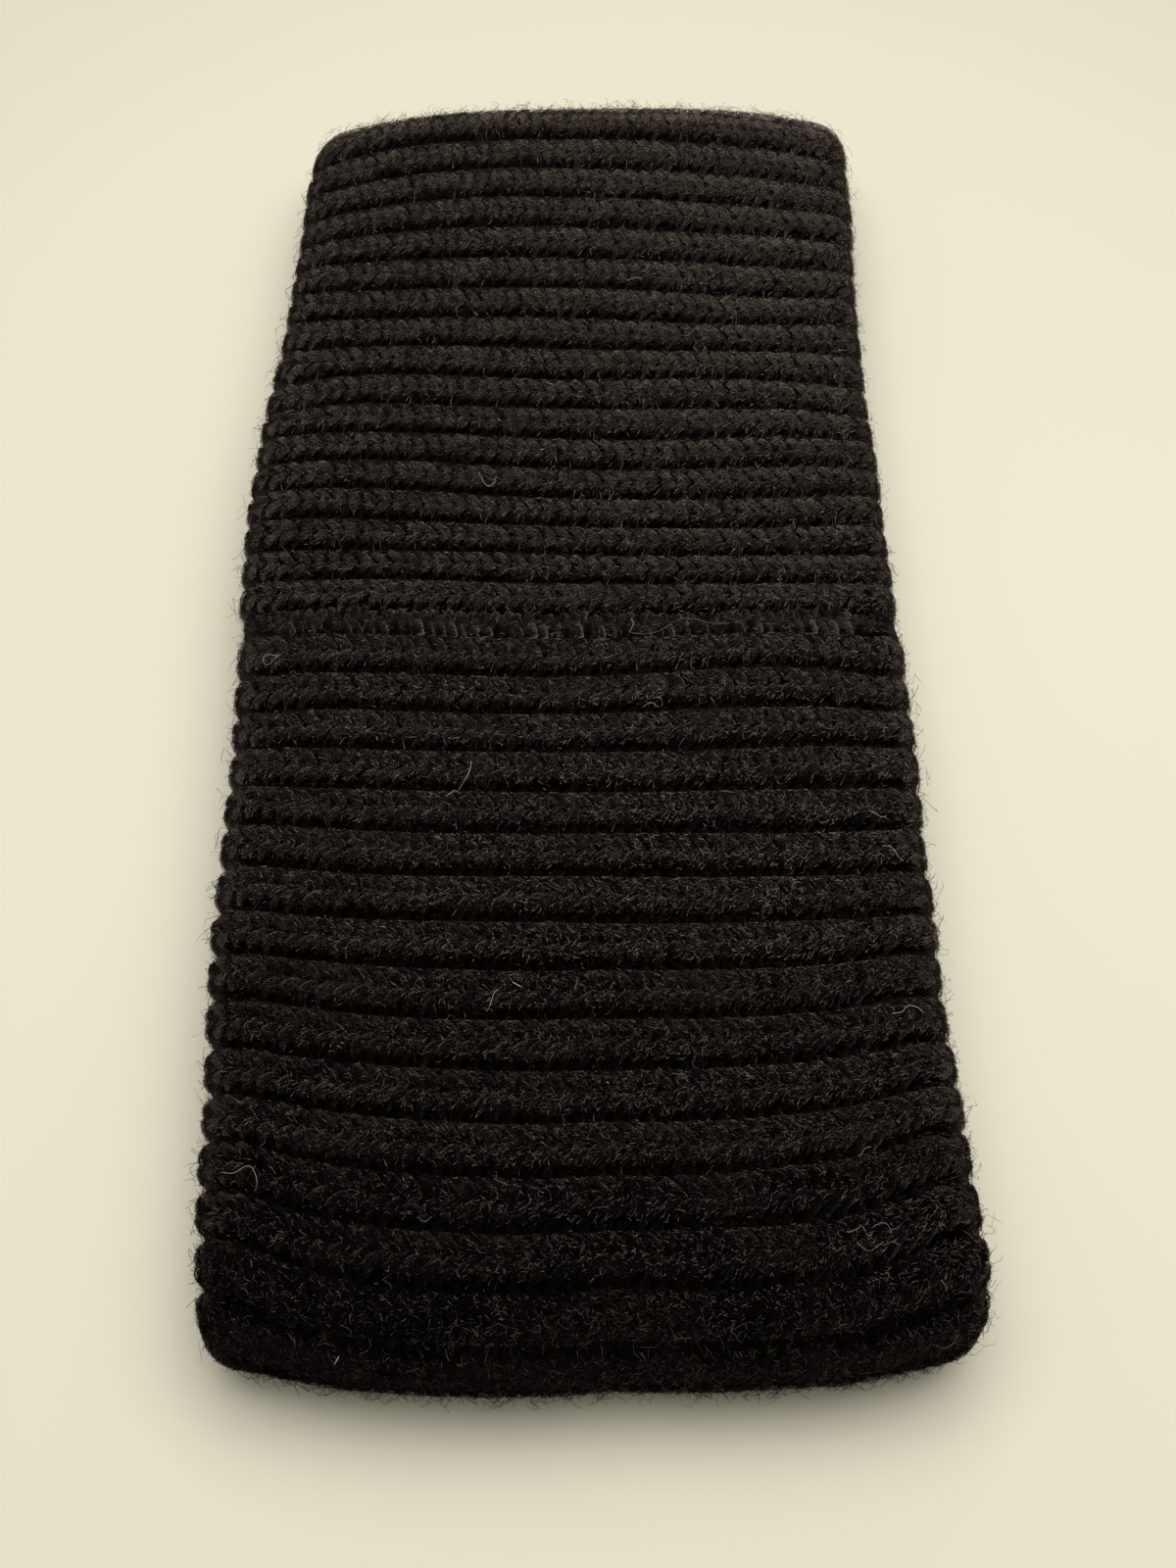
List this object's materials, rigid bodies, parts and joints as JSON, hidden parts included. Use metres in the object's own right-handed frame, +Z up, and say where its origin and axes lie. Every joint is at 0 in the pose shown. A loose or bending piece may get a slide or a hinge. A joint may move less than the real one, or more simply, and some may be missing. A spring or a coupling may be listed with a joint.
{
  "type": "knit headband",
  "caption": "Rib-knit wool headband laid flat: a doubled band of ribs closed into a loop, with its laced join across the upper face.",
  "frame": {"origin": "under the middle of the band, on the surface that it lies on", "axes": "+Y along the length towards the narrower far fold, +X across the band, through the loop's opening, +Z up"},
  "size_m": [0.1057, 0.2379, 0.0245],
  "materials": {
    "knit_wool": "matt black rib-knit wool with a soft fuzz",
    "join_wool": "matt black wool sewing yarn",
    "closing_wool": "matt black wool sewing yarn"
  },
  "bodies": {
    "root": {"knit_strip": "knit_wool", "join_yarn": "join_wool", "closing_yarn": "closing_wool"}
  },
  "joints": []
}
